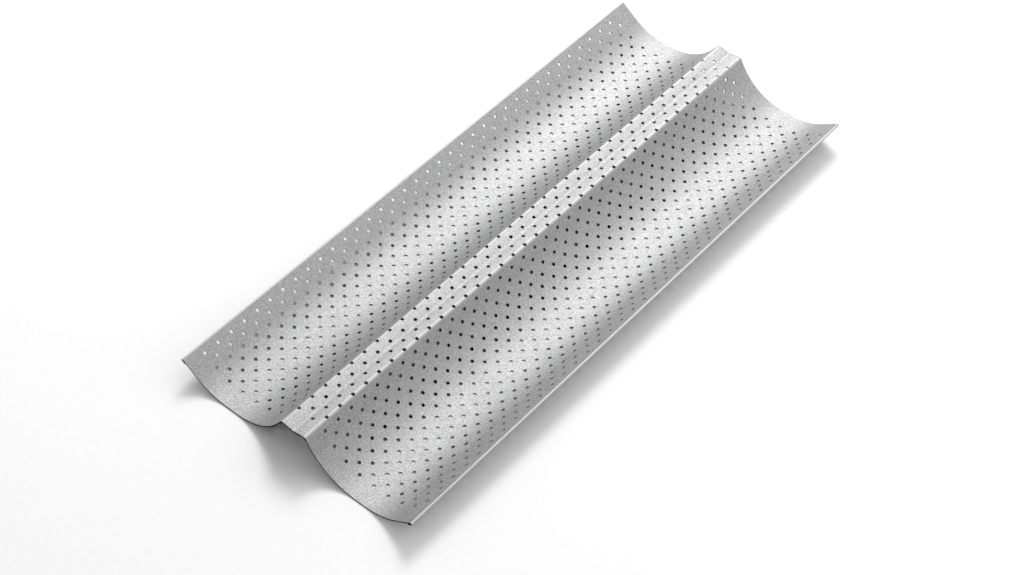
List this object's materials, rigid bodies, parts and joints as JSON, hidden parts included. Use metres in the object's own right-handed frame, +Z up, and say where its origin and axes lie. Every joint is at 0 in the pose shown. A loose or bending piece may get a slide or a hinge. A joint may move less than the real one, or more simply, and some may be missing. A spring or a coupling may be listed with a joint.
{
  "type": "perforated baguette baking tray",
  "caption": "Perforated steel baking tray pressed into two round-bottomed troughs side by side, with a raised ridge between them and hemmed long rims.",
  "frame": {"origin": "middle of the tray's length and width, on the surface that it rests on", "axes": "+Z up, X across the two troughs, Y along them"},
  "size_m": [0.162, 0.38, 0.0225],
  "materials": {
    "coated_steel": "silver-grey non-stick coating on carbon steel, satin with a fine grain"
  },
  "bodies": {
    "root": {"centre_ridge": "coated_steel", "left_trough": "coated_steel", "right_trough": "coated_steel", "left_rim_hem": "coated_steel", "right_rim_hem": "coated_steel"}
  },
  "joints": []
}
